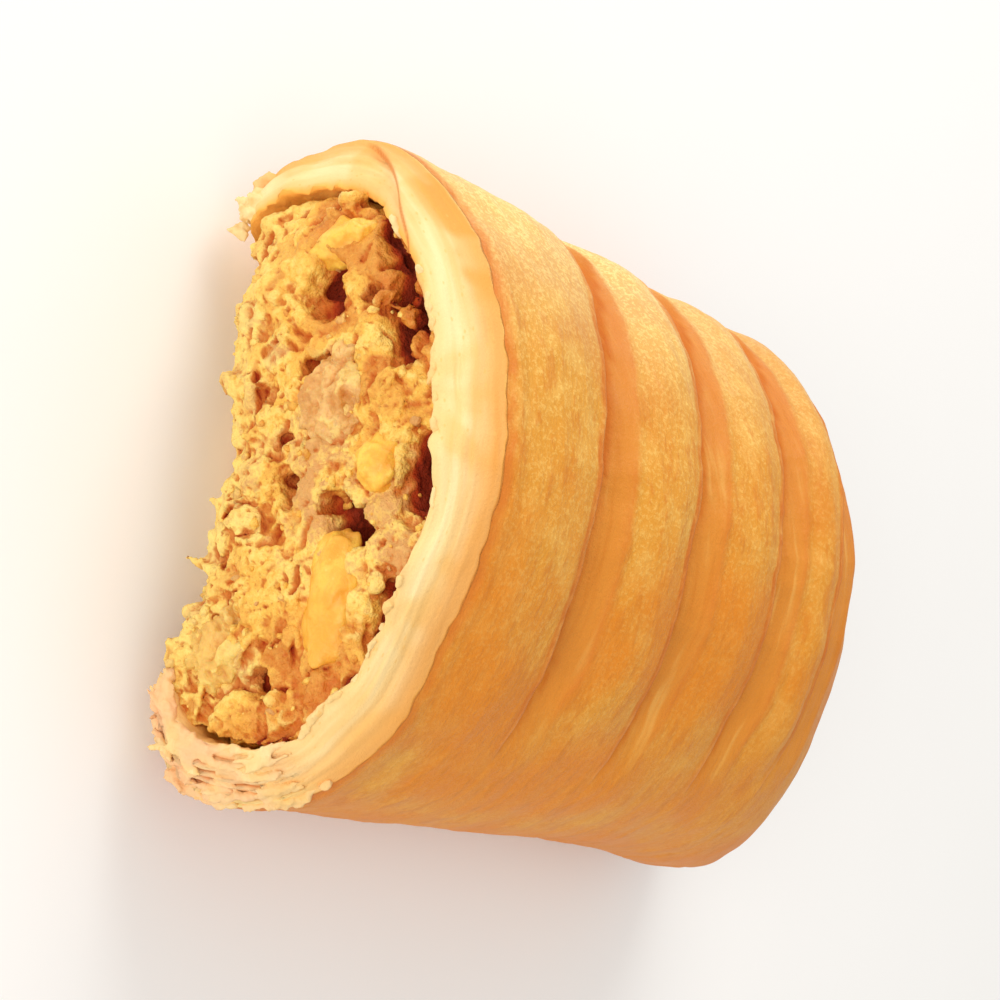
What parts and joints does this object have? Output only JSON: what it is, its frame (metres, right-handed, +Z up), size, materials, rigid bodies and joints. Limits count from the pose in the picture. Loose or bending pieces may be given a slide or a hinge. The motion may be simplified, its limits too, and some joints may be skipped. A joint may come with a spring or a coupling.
{
  "type": "savory strudel",
  "caption": "Broken half of a baked savory strudel: golden slashed crust, closed at one end and torn open at the other, round a crumbly filling with cheese.",
  "frame": {"origin": "on the flat underside, halfway across the width and 45 mm in from the closed end, which is the middle of the length to within 1 mm", "axes": "+Y along the strudel towards its closed end, so the torn end faces -Y; +Z up from the flat underside through the slashed top; +X across"},
  "size_m": [0.0622, 0.0894, 0.0375],
  "materials": {
    "crust": "baked golden dough, cream where it is torn",
    "filling": "crumbly and moist",
    "cheese": "smooth soft cheese",
    "vegetable": "cooked, slightly moist"
  },
  "bodies": {
    "root": {"crust": "crust", "filling": "filling", "cheese_strip": "cheese", "cheese_lump": "cheese", "cheese_end": "cheese", "vegetable_chunk": "vegetable", "vegetable_lump": "vegetable"}
  },
  "joints": []
}
